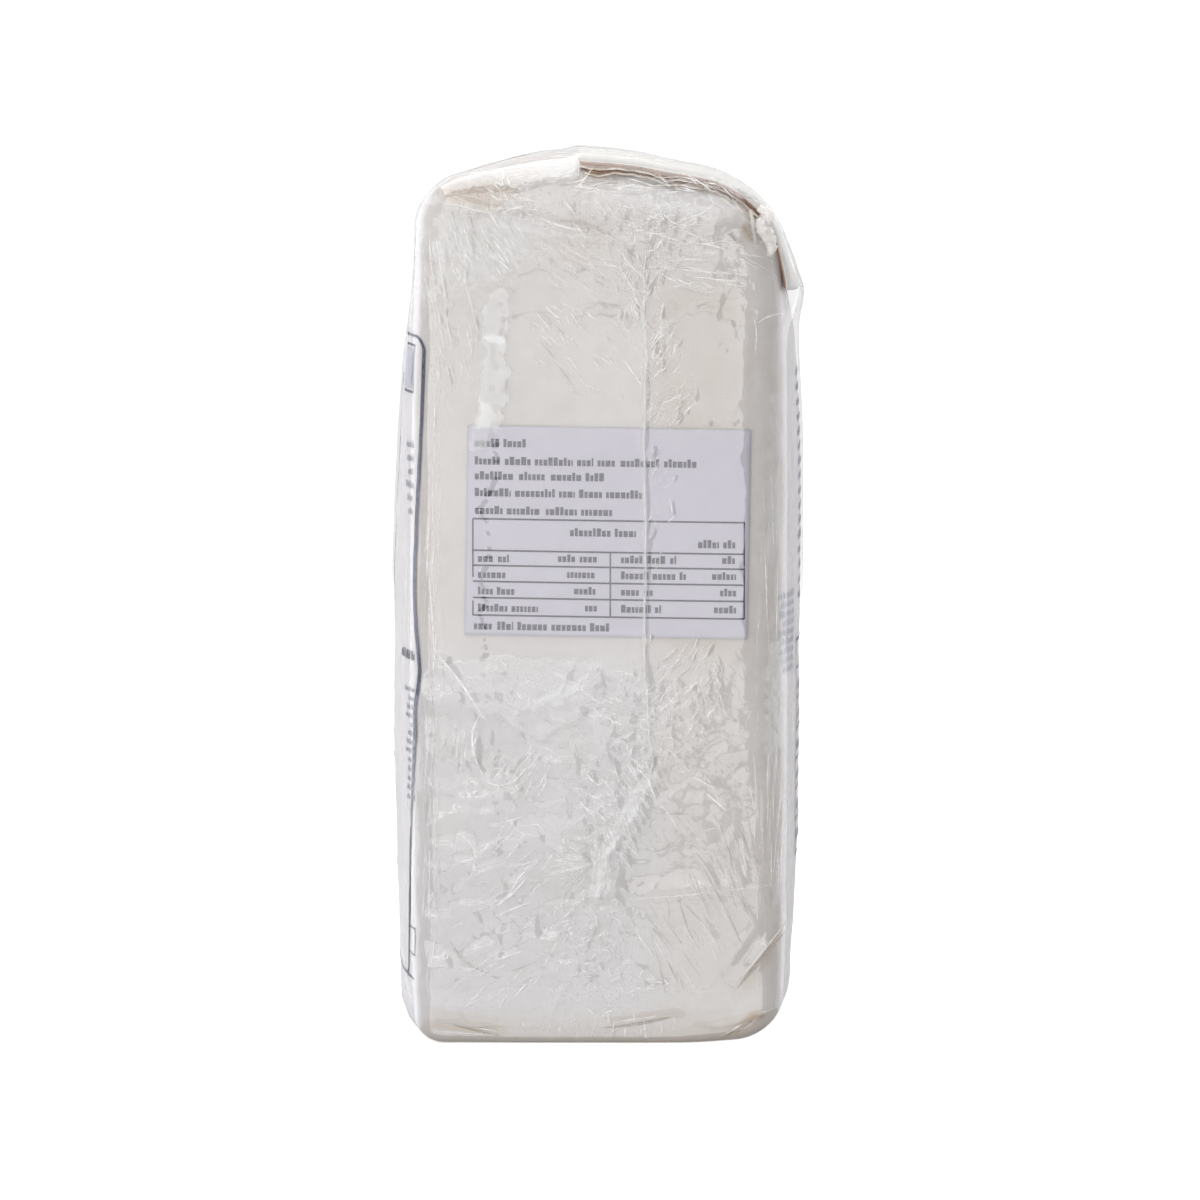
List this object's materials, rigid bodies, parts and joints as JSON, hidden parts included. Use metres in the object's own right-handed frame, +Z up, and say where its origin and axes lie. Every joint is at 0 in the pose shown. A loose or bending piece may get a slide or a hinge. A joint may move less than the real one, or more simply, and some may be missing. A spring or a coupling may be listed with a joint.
{
  "type": "bag of flour",
  "caption": "Full upright paper flour bag, brick shaped, shut by a rolled top flap, shrink-wrapped in clear film, with a paper label under the film on one narrow side.",
  "frame": {"origin": "middle of the base, on the plane that the bag rests on", "axes": "+Z up along the height, +X out of the narrow side with the label, -Y out of the wide front face"},
  "size_m": [0.1261, 0.0964, 0.2016],
  "materials": {
    "bag_paper": "warm off-white kraft paper with a soft sheen, seen through clear film",
    "label_paper": "pale lilac-white printed paper",
    "clear_film": "clear glossy shrink film with fine wrinkles"
  },
  "bodies": {
    "root": {"wrapped_bag": "bag_paper", "label": "label_paper"}
  },
  "joints": []
}
